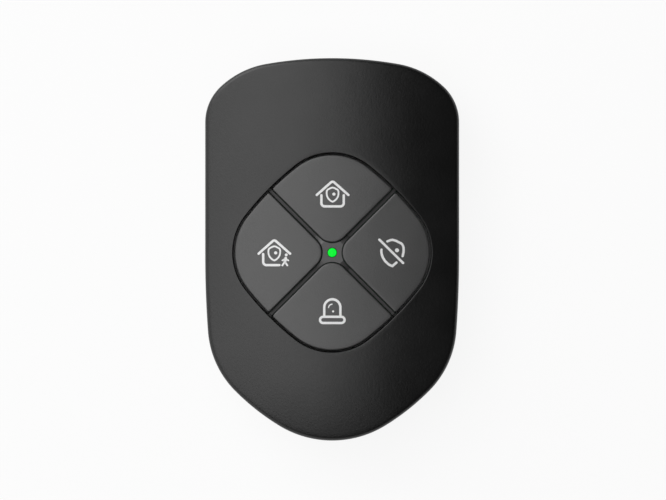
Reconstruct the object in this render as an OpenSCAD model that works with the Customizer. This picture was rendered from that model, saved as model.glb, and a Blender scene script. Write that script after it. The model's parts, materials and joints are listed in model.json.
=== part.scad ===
// Alarm key fob: an arched two-part housing with four keys round a status light.
// The fob lies on its rear face, +Y points to the crown end, +Z out of the front face.

/* [Body] */
// Length of the body from crown to tip
body_l = 57; // [54:0.5:62]
// Width across the straight flanks
body_w = 38; // [36.5:0.5:40]
// Thickness at the middle of the front face
body_t = 12.6; // [12.2:0.1:14]
// Radius of the arch across the front face
face_r = 60; // [52:1:90]
// Radius of the bend that lowers the face towards the tip
tip_bend_r = 60; // [50:1:120]
// Distance from the middle of the body at which that bend starts
tip_bend_y = 14.4; // [14:0.2:18]
// Edge radius round the front face
front_edge_r = 0.6; // [0.4:0.1:1.2]
// Edge radius round the rear face
rear_edge_r = 2.4; // [1.6:0.1:2.6]
// Height of the parting line above the rear face
parting_z = 5; // [4.8:0.1:5.2]
// Gap that shows at the parting line
seam_gap = 0.1; // [0.05:0.01:0.15]
// Thickness of the side walls
wall_t = 1.6; // [1.4:0.05:1.8]
// Thickness of the front wall under the arch
roof_t = 1.5; // [1.2:0.1:1.6]
// Thickness of the rear wall
floor_t = 1.4; // [1.2:0.1:1.5]
// Depth of the tongue that locates the covers in each other
tongue_h = 1; // [0.8:0.1:1.4]
// Edge radius inside the front cover
inner_edge_r = 0.5; // [0.3:0.1:0.8]
// Length of a stiffening rib under the front wall
stiffener_l = 14; // [10:0.5:15]
// Width of a stiffening rib
stiffener_w = 0.8; // [0.6:0.1:1]
// Height of a stiffening rib at its middle
stiffener_h = 1.1; // [0.6:0.1:1.2]
// Gap between a stiffening rib and the key frame
stiffener_gap = 0.9; // [0.5:0.1:1]

/* [Outline] */
// Angle that the crown arc turns on each side
crown_turn = 9.6; // [8.5:0.1:11]
// Radius of the shoulder arc
shoulder_r = 13.3; // [12:0.1:14.5]
// Angle that the shoulder arc turns
shoulder_turn = 32.9; // [30:0.1:36]
// Radius of the arc from the shoulder to the flank
corner_r = 7.2; // [6:0.1:8.5]
// Radius of the slow curve below the flank
waist_r = 154; // [140:1:170]
// Angle that the slow curve turns
waist_turn = 4.2; // [3.8:0.1:4.6]
// Radius of the bend into the lower end
hip_r = 14; // [12.5:0.1:15.5]
// Angle that this bend turns
hip_turn = 40.9; // [38:0.1:43]
// Radius of the long curve down to the tip
slope_r = 35.8; // [33:0.1:38]
// Angle that the long curve turns
slope_turn = 13.4; // [12:0.1:15]

/* [Keypad] */
// Distance of the keypad's middle below the body's middle
pad_drop = 0.43; // [0:0.01:1]
// Distance from the flanks to the keypad's corners, in the middle of the gap round it
pad_margin = 4.33; // [4.1:0.01:5]
// Distance from the keypad's middle to the centre of each corner arc
pad_corner_x = 6; // [5.6:0.1:6.2]
// Distance from the keypad's middle to the centre of each flatter side arc, on its far side
pad_side_c = 30.6; // [26:0.1:40]
// Gap between the keys and the window in the front cover
window_gap = 0.38; // [0.3:0.01:0.45]
// Width of the cross-shaped rib between the keys
rib_w = 0.43; // [0.4:0.01:0.6]
// Gap between a key and the rib
rib_gap = 0.155; // [0.14:0.005:0.22]
// How far the rib lies below the key tops
rib_sink = 1; // [0.8:0.05:1.2]
// How far the hub round the light lies below the key tops
hub_sink = 0.25; // [0.15:0.05:0.5]
// Diameter of the hub's flat top
hub_d = 4; // [3.4:0.1:4.4]
// Diameter at which the hub has sloped down to the rib
hub_foot_d = 7; // [6:0.1:8]
// Radius of a key's corner next to the light
key_nose_r = 2.45; // [2.2:0.05:2.8]
// Wall thickness of a key cap
key_wall = 1; // [0.8:0.05:1.2]
// Thickness of the top of a key cap
key_top_t = 1.2; // [1:0.05:1.4]
// Travel of a key
key_travel = 0.35; // [0.25:0.01:0.4]
// Width of the ribs inside a key cap
key_rib_w = 0.7; // [0.6:0.05:0.9]
// Height of those ribs above the plunger
key_rib_rise = 1; // [0.8:0.1:1.5]
// How far a key's post reaches past the edge of the plunger
post_edge = 0.3; // [0.2:0.05:0.5]
// Width of the stop lip along a key's outer edge
lip_w = 0.9; // [0.7:0.05:1]
// Thickness of the stop lip
lip_t = 0.7; // [0.5:0.05:0.8]
// Gap between the stop lip and the key frame at rest
lip_gap = 0.1; // [0.05:0.01:0.15]
// Width of the key frame's ring beyond the keypad
frame_ring_w = 1.6; // [1.4:0.05:1.9]
// Thickness of the ring where it is thinnest
frame_ring_t = 0.8; // [0.6:0.05:0.9]
// Distance of the frame's rivets beyond the keypad's sides
rivet_out = 2.7; // [2.5:0.1:3]
// Diameter of a rivet that holds the key frame
rivet_d = 1.1; // [0.9:0.05:1.2]
// Diameter of a formed rivet head
rivet_head_d = 2; // [1.7:0.1:2.2]
// Height of a rivet head
rivet_head_h = 0.5; // [0.4:0.05:0.6]
// Width of a frame ear beyond the rivet head
ear_edge = 0.4; // [0.3:0.05:0.5]
// Diameter of the light pipe where it shows
light_d = 1.4; // [1.2:0.05:1.5]
// Width of the flange under the light pipe
pipe_flange_w = 0.5; // [0.3:0.05:0.6]
// Height of that flange
pipe_flange_h = 0.6; // [0.4:0.05:0.7]

/* [Board] */
// Thickness of the circuit board
board_t = 1; // [0.8:0.1:1]
// Depth of the board's upper face below the middle of the front face
board_depth = 6.2; // [6:0.05:6.2]
// Gap between the board's edge and the side wall
board_gap = 0.5; // [0.3:0.05:0.8]
// Width of the board beyond the antenna coil
board_rim = 1.2; // [0.8:0.1:1.5]
// Distance of the board's tip edge from the middle of the body
board_tip_y = 19.6; // [18.8:0.1:19.8]
// Distance of a switch from the keypad's middle
switch_reach = 8; // [7.6:0.1:8.4]
// Distance from the flanks to the upper board screw and peg
upper_hold_in = 4.4; // [4.3:0.1:4.6]
// Distance of these two above the body's middle
upper_hold_y = 13.6; // [13.4:0.1:14]
// Distance from the flanks to the lower board screw and peg
lower_hold_in = 5.6; // [5.5:0.1:5.8]
// Distance of these two below the body's middle
lower_hold_y = 16; // [15.8:0.1:16.2]
// How far a board peg reaches through the board
peg_rise = 0.2; // [0.1:0.05:0.4]
// Side of a switch body
switch_w = 4.5; // [4.3:0.1:4.7]
// Height of a switch body
switch_h = 1.3; // [1.2:0.05:1.35]
// Width of a switch's solder legs
switch_leg_w = 0.7; // [0.5:0.05:0.8]
// Reach of a solder leg beyond the switch body
switch_leg_l = 0.7; // [0.5:0.05:0.9]
// Thickness of a solder leg, and of the switch's bottom under the plunger
switch_leg_t = 0.2; // [0.15:0.01:0.25]
// Width of the tabs that hold the steel plate
plate_tab_w = 1.6; // [1.2:0.1:2]
// Height of these tabs above the board
plate_tab_z = 0.4; // [0.3:0.05:0.5]
// Thickness of a switch's steel plate
shield_t = 0.15; // [0.1:0.05:0.2]
// Diameter of a switch's plunger
plunger_d = 2.2; // [2:0.1:2.4]
// Height of the plunger above the steel plate
plunger_rise = 0.5; // [0.45:0.01:0.6]
// Diameter of the antenna coil
coil_d = 3; // [2.6:0.1:3.2]
// Diameter of the antenna wire
coil_wire_d = 0.5; // [0.4:0.05:0.6]
// Turns of the antenna coil
coil_turns = 11; // [8:1:12]
// Pitch of the antenna coil
coil_pitch = 1.3; // [1.1:0.05:1.4]
// Gap between the antenna coil and the key frame
coil_gap = 0.83; // [0.6:0.01:1]
// Gap between the antenna coil and the board
coil_lift = 0.1; // [0.05:0.05:0.2]
// Length of the status diode
led_l = 1.6; // [1.4:0.1:1.8]
// Width of the status diode
led_w = 0.8; // [0.7:0.05:1]
// Gap between the diode and the light pipe
led_gap = 0.1; // [0.05:0.05:0.2]

/* [Chips] */
// Side of the controller chip
controller_w = 5; // [4:0.5:5]
// Side of the radio chip
radio_w = 4; // [3:0.5:4]
// Height of both chips
chip_h = 0.9; // [0.7:0.05:1]
// Length of the radio crystal
crystal_l = 3.2; // [2.5:0.1:3.2]
// Width of the radio crystal
crystal_w = 2.5; // [2:0.1:2.5]
// Height of the radio crystal
crystal_h = 0.8; // [0.6:0.05:0.9]
// Diameter of the clock crystal
clock_d = 2; // [1.5:0.1:2]
// Length of the clock crystal
clock_l = 6; // [5:0.1:6]
// Gap between neighbours in the row of chips
chip_gap = 2; // [1.5:0.1:2]
// Distance of the row of chips from the board's crown edge
chip_row_in = 8.9; // [8.7:0.1:9.1]
// Length of a small part
small_l = 1.6; // [1:0.1:1.6]
// Width of a small part
small_w = 0.8; // [0.5:0.05:0.8]
// Height of a capacitor
capacitor_h = 0.8; // [0.5:0.05:0.9]
// Height of a resistor
resistor_h = 0.5; // [0.4:0.05:0.6]
// Height of a matching coil
matching_h = 0.9; // [0.7:0.05:1]
// Pitch of the row of capacitors
capacitor_pitch = 3; // [2:0.1:3]
// Distance of the row of capacitors from the board's crown edge
capacitor_row_in = 4.7; // [4.6:0.1:4.9]
// Pitch of the row of matching coils
matching_pitch = 2.5; // [2.2:0.1:3]
// Distance of the row of matching coils from the board's crown edge
matching_row_in = 2.7; // [2.6:0.1:2.9]
// Distance from the flanks to the parts beside the keys
side_part_in = 4.6; // [4.2:0.1:4.8]
// Distance of the first of these parts above the body's middle
side_part_y = 2; // [1.6:0.1:2.4]
// Pitch of these parts
side_part_pitch = 2.2; // [1.8:0.1:2.4]

/* [Battery] */
// Diameter of the coin cell
cell_d = 20; // [20:0.1:20.2]
// Gap between the coin cell and the board
cell_board_gap = 0.4; // [0.4:0.05:0.6]
// Width of the step round the coin cell's cap
cell_step_w = 1.2; // [1:0.1:1.4]
// Height of that step
cell_step_h = 0.4; // [0.3:0.05:0.5]
// Distance of the cell's middle below the body's middle
cell_drop = 5; // [4.4:0.1:5.4]
// Gap between the cell and its holder
cell_gap = 0.25; // [0.2:0.01:0.3]
// Wall thickness of the cell holder
holder_wall = 1.2; // [1:0.05:1.3]
// Width of the holder's rim over the cell
holder_rim_w = 1.5; // [1:0.1:2]
// Thickness of that rim
holder_rim_t = 0.2; // [0.15:0.01:0.3]
// Width of the slot in the holder's tip side
holder_slot_w = 8; // [6:0.5:10]
// Gap between the holder and the ring rib of the rear wall
ring_gap = 1; // [0.8:0.1:1.1]
// Width of the ring rib
ring_w = 0.8; // [0.6:0.05:0.9]
// Height of the ring rib above the rear wall
ring_h = 1.55; // [1:0.05:1.6]
// Thickness of the contact strips
strip_t = 0.25; // [0.2:0.01:0.3]
// Width of the contact strip across the cell
strip_w = 5; // [4:0.1:6]
// Gap between the contact strip and the rear wall
strip_gap = 0.15; // [0.1:0.01:0.2]
// Gap between the strip's legs and the holder
strip_leg_gap = 0.1; // [0.05:0.01:0.2]
// Radius of the disc contact
disc_r = 6; // [5:0.1:7]
// Radius of the disc contact's dome where it leaves the disc
dome_r = 2.6; // [2.2:0.1:3]
// Radius of the dome where it meets the cell
dome_tip_r = 1.4; // [1:0.1:1.6]
// Thickness of the dome
dome_t = 0.2; // [0.15:0.01:0.25]

/* [Fasteners] */
// Distance from the flanks to the two upper case screws
case_screw_in = 5.8; // [5.6:0.1:6]
// Distance of the two upper case screws above the body's middle
case_screw_y = 19.6; // [19.2:0.1:20]
// Distance of the lower case screw below the body's middle
tip_screw_y = 22.6; // [22.4:0.1:22.8]
// Diameter of a case screw's shank
case_screw_d = 1.8; // [1.6:0.05:1.9]
// Diameter of a case screw's head
case_head_d = 3.4; // [3.2:0.1:3.6]
// Height of a case screw's head
case_head_h = 1.1; // [1:0.05:1.2]
// Length of a case screw under its head
case_screw_l = 6.5; // [6:0.1:7]
// Length of the cross slot in a case screw
case_slot_l = 2; // [1.6:0.1:2.2]
// Width of that slot
case_slot_w = 0.45; // [0.35:0.01:0.55]
// Depth of that slot
case_slot_h = 0.7; // [0.5:0.05:0.8]
// Diameter of a case screw boss
case_boss_d = 4.8; // [4.6:0.1:5]
// Depth of the recess for a case screw's head
case_recess = 1.7; // [1.6:0.05:1.8]
// Diameter of a board screw's shank
board_screw_d = 1.4; // [1.3:0.05:1.5]
// Diameter of a board screw's head
board_head_d = 2.6; // [2.4:0.1:2.8]
// Height of a board screw's head
board_head_h = 0.8; // [0.7:0.05:0.9]
// Length of a board screw under its head
board_screw_l = 3.4; // [3:0.1:3.5]
// Length of the cross slot in a board screw
board_slot_l = 1.5; // [1.2:0.1:1.7]
// Width of that slot
board_slot_w = 0.35; // [0.3:0.01:0.45]
// Depth of that slot
board_slot_h = 0.4; // [0.3:0.05:0.5]
// Diameter of a board boss
board_boss_d = 3.6; // [3.4:0.1:3.7]

/* [Lanyard bar] */
// Diameter of the lanyard bar
bar_d = 2; // [1.6:0.1:2.2]
// Distance of the bar's axis from the crown end
bar_inset = 1.9; // [1.7:0.05:2.1]
// Height of the bar's axis above the rear face
bar_z = 1.8; // [1.6:0.05:1.9]
// Width of the notch that the bar crosses
notch_w = 8; // [7:0.1:9]
// Depth of the notch from the crown end
notch_l = 5.5; // [5.3:0.1:6]
// Height of the notch above the rear face
notch_h = 4; // [3.9:0.05:4.1]
// Thickness of the walls round the notch
notch_wall = 1.2; // [1:0.05:1.4]
// Depth to which the bar is pressed into each side
bar_seat = 1.1; // [0.8:0.05:1.2]

/* [Hidden] */

// Directions of the four keys, turned from +X
home_dir = 90;
away_dir = 180;
disarm_dir = 0;
alarm_dir = 270;

// Colours
cover_black = [0.07, 0.07, 0.075];
key_grey = [0.2, 0.2, 0.21];
light_green = [0, 0.95, 0.25];
board_green = [0.05, 0.3, 0.16];
moulded_black = [0.06, 0.06, 0.06];
bright_steel = [0.75, 0.75, 0.76];
gold_plate = [0.85, 0.66, 0.28];
ceramic_tan = [0.72, 0.6, 0.45];

// Fineness of curves: the longest step round an arc and along it, and round bores
step_turn = 6;
step_l = 6;
fine = 64;
face_fine = 240;
cut = 1;

// The outline: the crown and tip radii follow from the width, the flank from the length
crown_sum = crown_turn + shoulder_turn;
crown_r = (body_w / 2 - shoulder_r * (sin(crown_sum) - sin(crown_turn))
  - corner_r * (1 - sin(crown_sum))) / sin(crown_turn);
upper_l = crown_r * (1 - cos(crown_turn)) + shoulder_r * (cos(crown_turn) - cos(crown_sum))
  + corner_r * cos(crown_sum);
hip_sum = waist_turn + hip_turn;
slope_sum = hip_sum + slope_turn;
tip_r = (body_w / 2 - waist_r * (1 - cos(waist_turn)) - hip_r * (cos(waist_turn) - cos(hip_sum))
  - slope_r * (cos(hip_sum) - cos(slope_sum))) / cos(slope_sum);
lower_l = waist_r * sin(waist_turn) + hip_r * (sin(hip_sum) - sin(waist_turn))
  + slope_r * (sin(slope_sum) - sin(hip_sum)) + tip_r * (1 - sin(slope_sum));
flank_l = body_l - upper_l - lower_l;

// The keypad: its sides are arcs that run smoothly into its corners
pad_reach = body_w / 2 - pad_margin;
pad_corner_r = pad_reach - pad_corner_x;
pad_between = [pad_corner_x + pad_side_c / sqrt(2), pad_side_c / sqrt(2)];
pad_side_r = pad_corner_r + norm(pad_between);
pad_side_reach = pad_side_r - pad_side_c;
pad_corner_turn = atan2(pad_between.y, pad_between.x);
pad_side_turn = 90 - 2 * pad_corner_turn;
key_inset = window_gap / 2;
key_half_split = rib_w / 2 + rib_gap;
rivet_reach = pad_side_reach + rivet_out;
frame_reach = pad_reach + frame_ring_w;

// Heights in the stack
board_top_z = body_t - board_depth;
board_bottom_z = board_top_z - board_t;
frame_fit = 0.08;
frame_z = face_z(frame_reach, 0) - roof_t - frame_fit - frame_ring_t;
lip_top_z = frame_z - lip_gap;
key_foot_z = lip_top_z - lip_t;
pipe_foot_z = frame_z - pipe_flange_h;
switch_top_z = board_top_z + switch_h;
plate_top_z = switch_top_z + shield_t;
plunger_top_z = plate_top_z + plunger_rise;
post_gap = 0.05;
well_z = board_top_z + switch_leg_t;
strip_z = floor_t + strip_gap;
cell_z = strip_z + strip_t;
cell_top_z = board_bottom_z - cell_board_gap;
holder_d = cell_d + 2 * (cell_gap + holder_wall);

// Places on the board, and its crown edge
antenna_y = frame_reach - pad_drop + coil_gap + coil_d / 2;
board_crown_y = antenna_y + coil_d / 2 + board_rim;
chip_row_y = board_crown_y - chip_row_in;
chip_row_l = controller_w + radio_w + crystal_l + 2 * chip_gap;
upper_hold_x = body_w / 2 - upper_hold_in;
lower_hold_x = body_w / 2 - lower_hold_in;
board_screw_at = [[upper_hold_x, upper_hold_y], [-lower_hold_x, -lower_hold_y]];
board_peg_at = [[-upper_hold_x, upper_hold_y], [lower_hold_x, -lower_hold_y]];
case_screw_x = body_w / 2 - case_screw_in;

// Fits
tongue_fit = 0.05;
pin_fit = 0.05;
press_fit = 0.01;
plunger_fit = 0.08;
plate_fit = 0.16;
screw_hole_fit = 0.2;
thread_depth = 0.15;
case_core_d = case_screw_d - 2 * thread_depth;
board_core_d = board_screw_d - 2 * thread_depth;
pilot_spare = 0.5;
holder_foot_gap = 0.1;

// The point after a clockwise turn along an arc that starts at a heading
function turned(at, heading, r, turn) = [
  at.x + r * (sin(heading) - sin(heading - turn)),
  at.y - r * (cos(heading) - cos(heading - turn)),
  heading - turn
];

// Points along a chain of [radius, turn] arcs and [length] straights, each [x, y, heading]
function walk(chain, at, heading, i = 0) =
  i == len(chain) ? [] :
  let (
    leg = chain[i],
    straight = len(leg) == 1,
    turn = straight ? 0 : leg[1],
    run = straight ? leg[0] : leg[0] * turn * PI / 180,
    steps = ceil(max(turn / step_turn, run / step_l)),
    here = [for (k = [1:steps]) straight
      ? [at.x + run * k / steps * cos(heading), at.y + run * k / steps * sin(heading), heading]
      : turned(at, heading, leg[0], turn * k / steps)]
  )
  concat(here, walk(chain, here[steps - 1], heading - turn, i + 1));

// One half of the outline, from the crown to the tip, and then the whole of it, clockwise
half_edge = walk(
  [[crown_r, crown_turn], [shoulder_r, shoulder_turn], [corner_r, 90 - crown_sum], [flank_l],
   [waist_r, waist_turn], [hip_r, hip_turn], [slope_r, slope_turn], [tip_r, 90 - slope_sum]],
  [0, body_l / 2], 0);
half_n = len(half_edge);
edge = concat(
  [[0, body_l / 2, 0]], half_edge,
  [for (i = [half_n - 2:-1:0]) [-half_edge[i].x, half_edge[i].y, -half_edge[i].z]]);

// The outline moved inwards, along the normal at each point
function rim(inset) = [for (p = edge) [p.x + inset * sin(p.z), p.y - inset * cos(p.z)]];

// Height of the front face: an arch across the body that bends down towards the tip
function face_z(x, y) =
  body_t - face_r + sqrt(face_r * face_r - x * x) - pow(max(0, -y - tip_bend_y), 2) / (2 * tip_bend_r);

function lifted(points, z) = [for (p = points) [p.x, p.y, z]];
function draped(points, share, depth) =
  [for (p = points) [share * p.x, share * p.y, face_z(share * p.x, share * p.y) - depth]];

// The keypad's outline, moved inwards
function pad(inset) =
  let (corner = pad_corner_r - inset, side = pad_side_r - inset)
  walk(
    [[corner, pad_corner_turn], [side, pad_side_turn], [corner, 2 * pad_corner_turn], [side, pad_side_turn],
     [corner, 2 * pad_corner_turn], [side, pad_side_turn], [corner, 2 * pad_corner_turn],
     [side, pad_side_turn], [corner, pad_corner_turn]],
    [0, pad_reach - inset], 0);
function flat(points) = [for (p = points) [p.x, p.y]];

// A closed solid through rings of points, each clockwise from above, with a flat or a pointed top
module loft(rings, apex = undef) {
  n = len(rings[0]);
  m = len(rings);
  points = [for (ring = rings, p = ring) p];
  bottom = [[for (i = [n - 1:-1:0]) i]];
  sides = [for (k = [0:m - 2], i = [0:n - 1])
    let (j = (i + 1) % n, low = k * n, high = low + n)
    each [[low + j, high + j, high + i], [low + j, high + i, low + i]]];
  last = (m - 1) * n;
  top = is_undef(apex)
    ? [[for (i = [0:n - 1]) last + i]]
    : [for (i = [0:n - 1]) [last + i, last + (i + 1) % n, m * n]];
  polyhedron(is_undef(apex) ? points : concat(points, [apex]), concat(bottom, sides, top));
}

// The space under the front face, at a depth below it, with a rounded edge
module dome(inset, base_z, depth, edge_r) {
  rolled = [for (a = [0:22.5:90])
    draped(rim(inset + edge_r * (1 - cos(a))), 1, depth + edge_r * (1 - sin(a)))];
  inner = [for (share = [0.9:-0.1:0.5]) draped(rim(inset + edge_r), share, depth)];
  loft(concat([lifted(rim(inset), base_z)], rolled, inner), [0, 0, face_z(0, 0) - depth]);
}

// The space under the arch alone, as one true cylinder
module under_arch(depth) {
  translate([0, 0, body_t - face_r])
    rotate([90, 0, 0])
      cylinder(r = face_r - depth, h = 2 * body_l, center = true, $fn = face_fine);
}

module ring_of_wall(inset_out, inset_in, z0, z1) {
  translate([0, 0, z0])
    linear_extrude(z1 - z0)
      difference() {
        polygon(rim(inset_out));
        polygon(rim(inset_in));
      }
}

module rod(d, z0, z1) {
  translate([0, 0, z0]) cylinder(d = d, h = z1 - z0, $fn = fine);
}

module block(w, l, z0, z1) {
  translate([-w / 2, -l / 2, z0]) cube([w, l, z1 - z0]);
}

// Places that several pieces share
module at_case_screws() {
  for (side = [-1, 1]) translate([side * case_screw_x, case_screw_y]) children();
  translate([0, -tip_screw_y]) children();
}

module at_points(points) {
  for (p = points) translate([p.x, p.y]) children();
}

module at_pad() {
  translate([0, -pad_drop]) children();
}

module at_rivets() {
  at_pad()
    for (turn = [45:90:315])
      rotate(turn) translate([rivet_reach, 0]) children();
}

module at_bar(d, l) {
  translate([-l / 2, body_l / 2 - bar_inset, bar_z])
    rotate([0, 90, 0]) cylinder(d = d, h = l, $fn = fine);
}

// Outline of a key, or of the opening that it moves in, between the arms of the rib
module key_outline(outer_inset, half_split, nose_r) {
  nose_x = (half_split + nose_r) * sqrt(2);
  far = pad_reach;
  arc = [for (a = [225:-10:135]) [nose_x + nose_r * cos(a), nose_r * sin(a)]];
  wedge = concat(
    [[arc[0].x + far, arc[0].y - far]], arc,
    [[arc[len(arc) - 1].x + far, arc[len(arc) - 1].y + far]]);
  intersection() {
    polygon(flat(pad(outer_inset)));
    polygon(wedge);
  }
}

module key_openings() {
  for (dir = [home_dir, away_dir, disarm_dir, alarm_dir])
    rotate(dir) key_outline(-key_inset, rib_w / 2, key_nose_r + rib_gap);
}

// Housing
module front_cavity() {
  base_z = parting_z + seam_gap / 2;
  boss_end = body_t;
  difference() {
    dome(wall_t, base_z - cut, roof_t, inner_edge_r);
    at_case_screws() rod(case_boss_d, base_z, boss_end);
    at_points(concat(board_screw_at, board_peg_at)) rod(board_boss_d, board_top_z, boss_end);
    at_points(board_peg_at) rod(board_screw_d, board_bottom_z - peg_rise, board_top_z + cut);
    at_rivets() {
      rod(rivet_d, frame_z - rivet_head_h, boss_end);
      rod(rivet_head_d, frame_z - rivet_head_h, frame_z);
    }
    at_pad()
      for (side = [-1, 1])
        translate([0, side * (frame_reach + stiffener_gap + stiffener_w / 2)])
          block(stiffener_l, stiffener_w, body_t - roof_t - stiffener_h, boss_end);
  }
}

module front_cover() {
  base_z = parting_z + seam_gap / 2;
  color(cover_black)
    difference() {
      union() {
        difference() {
          dome(0, base_z, 0, front_edge_r);
          front_cavity();
        }
        ring_of_wall(wall_t / 2 + tongue_fit, wall_t, parting_z - tongue_h, base_z + tongue_h);
      }
      at_pad()
        translate([0, 0, base_z])
          linear_extrude(body_t) polygon(flat(pad(-window_gap / 2)));
      at_case_screws() rod(case_core_d + 2 * press_fit, 0, case_recess + case_screw_l + pilot_spare);
      at_points(board_screw_at) rod(board_core_d + 2 * press_fit, 0, board_bottom_z + board_screw_l + pilot_spare);
    }
}

module rear_pocket() {
  boss_top = parting_z - seam_gap / 2;
  difference() {
    translate([0, 0, floor_t]) linear_extrude(body_t) polygon(rim(wall_t));
    at_case_screws() rod(case_boss_d, 0, boss_top);
    translate([0, body_l / 2 - notch_l / 2])
      block(notch_w + 2 * notch_wall, notch_l + 2 * notch_wall, 0, boss_top);
    translate([0, -cell_drop])
      difference() {
        rod(holder_d + 2 * (ring_gap + ring_w), 0, floor_t + ring_h);
        rod(holder_d + 2 * ring_gap, 0, parting_z);
      }
  }
}

module rear_cover() {
  top_z = parting_z - seam_gap / 2;
  rolled = [for (a = [0:18:90])
    lifted(rim(rear_edge_r * (1 - sin(a))), rear_edge_r * (1 - cos(a)))];
  color(cover_black)
    difference() {
      loft(concat(rolled, [lifted(rim(0), top_z)]));
      rear_pocket();
      ring_of_wall(wall_t / 2, wall_t + cut, parting_z - tongue_h - tongue_fit, parting_z);
      at_case_screws() {
        rod(case_head_d + 2 * screw_hole_fit, -cut, case_recess);
        rod(case_screw_d + screw_hole_fit, 0, parting_z);
      }
      translate([0, body_l / 2]) block(notch_w, 2 * notch_l, -cut, notch_h);
      at_bar(bar_d + 2 * press_fit, notch_w + 2 * bar_seat);
    }
}

// A screw with its head below seat_z: head is [diameter, height], shank the same, slot [length, width, depth]
module screw(seat_z, head, shank, slot) {
  color(bright_steel)
    difference() {
      union() {
        rod(head[0], seat_z - head[1], seat_z);
        rod(shank[0], seat_z, seat_z + shank[1]);
      }
      for (turn = [0, 90])
        rotate(turn) block(slot[0], slot[1], 0, seat_z - head[1] + slot[2]);
    }
}

module case_screws() {
  at_case_screws()
    screw(case_recess, [case_head_d, case_head_h], [case_core_d, case_screw_l],
      [case_slot_l, case_slot_w, case_slot_h]);
}

module lanyard_bar() {
  color(bright_steel) at_bar(bar_d, notch_w + 2 * bar_seat);
}

// Keypad
module frame_ear() {
  ear_w = rivet_head_d + 2 * ear_edge;
  root_x = pad_side_reach + frame_ring_w / 2;
  translate([rivet_reach, 0]) circle(d = ear_w, $fn = fine);
  translate([root_x, -ear_w / 2]) square([rivet_reach - root_x, ear_w]);
}

module key_frame() {
  color(key_grey)
    at_pad()
      difference() {
        intersection() {
          translate([0, 0, frame_z])
            linear_extrude(body_t) {
              polygon(flat(pad(-frame_ring_w)));
              for (turn = [45:90:315]) rotate(turn) frame_ear();
            }
          union() {
            under_arch(roof_t + frame_fit);
            intersection() {
              linear_extrude(body_t) polygon(flat(pad(key_inset)));
              under_arch(rib_sink);
            }
            rod(hub_foot_d, body_t - rib_sink - cut, body_t - rib_sink);
            translate([0, 0, body_t - rib_sink])
              cylinder(d1 = hub_foot_d, d2 = hub_d, h = rib_sink - hub_sink, $fn = fine);
          }
        }
        linear_extrude(body_t) key_openings();
        rod(light_d + 2 * pin_fit, 0, body_t + cut);
        for (turn = [45:90:315])
          rotate(turn) translate([rivet_reach, 0]) rod(rivet_d + 2 * pin_fit, 0, body_t);
      }
}

module light_pipe() {
  color(light_green)
    at_pad() {
      rod(light_d, pipe_foot_z, body_t - hub_sink);
      rod(light_d + 2 * pipe_flange_w, pipe_foot_z, frame_z);
    }
}

module key(dir) {
  color(key_grey)
    at_pad()
      difference() {
        intersection() {
          rotate(dir)
            union() {
              translate([0, 0, key_foot_z])
                linear_extrude(body_t) key_outline(key_inset, key_half_split, key_nose_r);
              translate([0, 0, key_foot_z])
                linear_extrude(lip_t) key_outline(-lip_w, key_half_split, key_nose_r);
            }
          under_arch(0);
        }
        difference() {
          intersection() {
            rotate(dir)
              linear_extrude(body_t)
                key_outline(key_inset + key_wall, key_half_split + key_wall, key_nose_r - key_wall);
            under_arch(key_top_t);
          }
          rotate(dir)
            translate([switch_reach, 0]) {
              rod(plunger_d + 2 * post_edge, plunger_top_z + post_gap, body_t);
              for (turn = [0, 90])
                rotate(turn) block(4 * pad_reach, key_rib_w, plunger_top_z + key_rib_rise, body_t);
            }
        }
      }
}

module home_key() { key(home_dir); }
module away_key() { key(away_dir); }
module disarm_key() { key(disarm_dir); }
module alarm_key() { key(alarm_dir); }

// Circuit board and what it carries
module circuit_board() {
  color(board_green)
    translate([0, 0, board_bottom_z])
      linear_extrude(board_t)
        difference() {
          intersection() {
            polygon(rim(wall_t + board_gap));
            translate([-body_w / 2, -board_tip_y]) square([body_w, board_tip_y + board_crown_y]);
          }
          at_case_screws() circle(d = case_boss_d + 2 * board_gap, $fn = fine);
          at_points(board_screw_at) circle(d = board_screw_d + screw_hole_fit, $fn = fine);
          at_points(board_peg_at) circle(d = board_screw_d + 2 * pin_fit, $fn = fine);
        }
}

module board_screws() {
  at_points(board_screw_at)
    screw(board_bottom_z, [board_head_d, board_head_h], [board_core_d, board_screw_l],
      [board_slot_l, board_slot_w, board_slot_h]);
}

module at_switch(dir) {
  at_pad() rotate(dir) translate([switch_reach, 0]) children();
}

module switch_base(dir) {
  color(moulded_black)
    at_switch(dir)
      difference() {
        union() {
          block(switch_w, switch_w, board_top_z, switch_top_z);
          for (side = [-1, 1])
            translate([0, side * switch_w / 3])
              block(switch_w + 2 * switch_leg_l, switch_leg_w, board_top_z, board_top_z + switch_leg_t);
        }
        rod(plunger_d + 2 * plunger_fit, well_z, body_t);
      }
}

module switch_plate(dir) {
  color(bright_steel)
    at_switch(dir)
      difference() {
        union() {
          block(switch_w, switch_w, switch_top_z, plate_top_z);
          for (side = [-1, 1])
            translate([0, side * (switch_w + shield_t) / 2])
              block(plate_tab_w, shield_t, board_top_z + plate_tab_z, plate_top_z);
        }
        rod(plunger_d + 2 * plate_fit, 0, body_t);
      }
}

module plunger(dir) {
  color(moulded_black) at_switch(dir) rod(plunger_d, well_z + key_travel + post_gap, plunger_top_z);
}

module home_switch_base() { switch_base(home_dir); }
module away_switch_base() { switch_base(away_dir); }
module disarm_switch_base() { switch_base(disarm_dir); }
module alarm_switch_base() { switch_base(alarm_dir); }
module home_switch_plate() { switch_plate(home_dir); }
module away_switch_plate() { switch_plate(away_dir); }
module disarm_switch_plate() { switch_plate(disarm_dir); }
module alarm_switch_plate() { switch_plate(alarm_dir); }
module home_plunger() { plunger(home_dir); }
module away_plunger() { plunger(away_dir); }
module disarm_plunger() { plunger(disarm_dir); }
module alarm_plunger() { plunger(alarm_dir); }

module status_led() {
  color("white") at_pad() block(led_l, led_w, board_top_z, pipe_foot_z - led_gap);
}

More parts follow.
